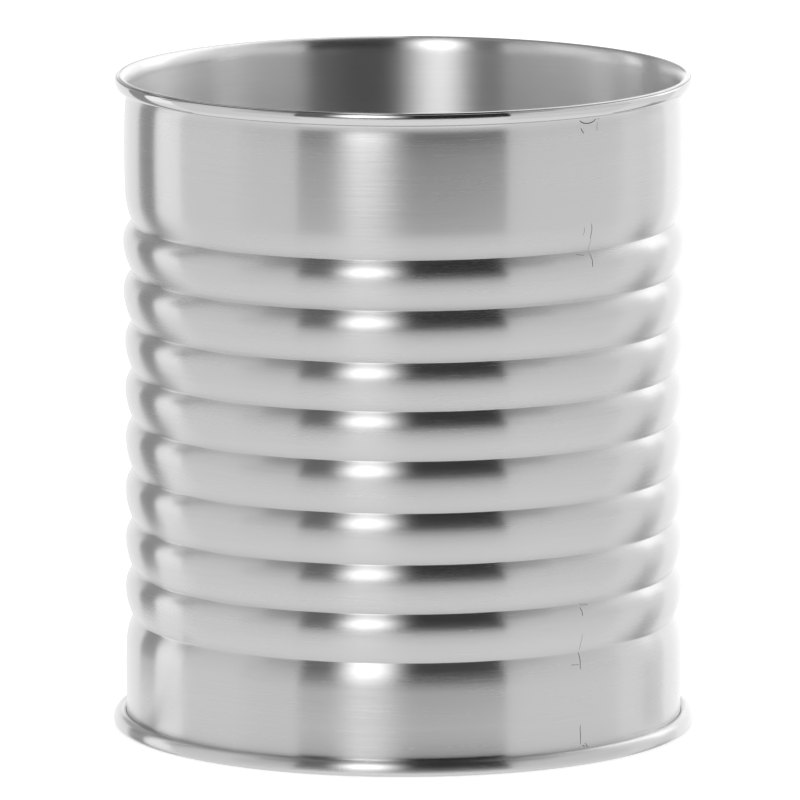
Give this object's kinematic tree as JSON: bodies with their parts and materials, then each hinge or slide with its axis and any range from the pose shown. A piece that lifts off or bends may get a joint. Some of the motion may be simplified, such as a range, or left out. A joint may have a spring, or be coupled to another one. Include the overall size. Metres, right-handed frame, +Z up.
{
  "type": "steel can",
  "caption": "Open-topped stainless steel can with a curled rim, rounded beads round the wall, a welded side seam and a rolled base joint that forms the foot ring.",
  "frame": {"origin": "middle of the underside, in the plane that the foot ring stands on", "axes": "+Z up along the can's axis, out of the open mouth; -Y is the front, and the side seam is 40.4 degrees from it towards +X"},
  "size_m": [0.1046, 0.1046, 0.118],
  "materials": {
    "body_steel": "fine circumferential brushing",
    "weld_steel": "polished over weld",
    "base_steel": "satin, bright on the rolled ring",
    "sealing_compound": "matt"
  },
  "bodies": {
    "root": {"body_shell": "body_steel", "side_seam_weld": "weld_steel", "base_end": "base_steel", "seam_sealing_ring": "sealing_compound"}
  },
  "joints": []
}
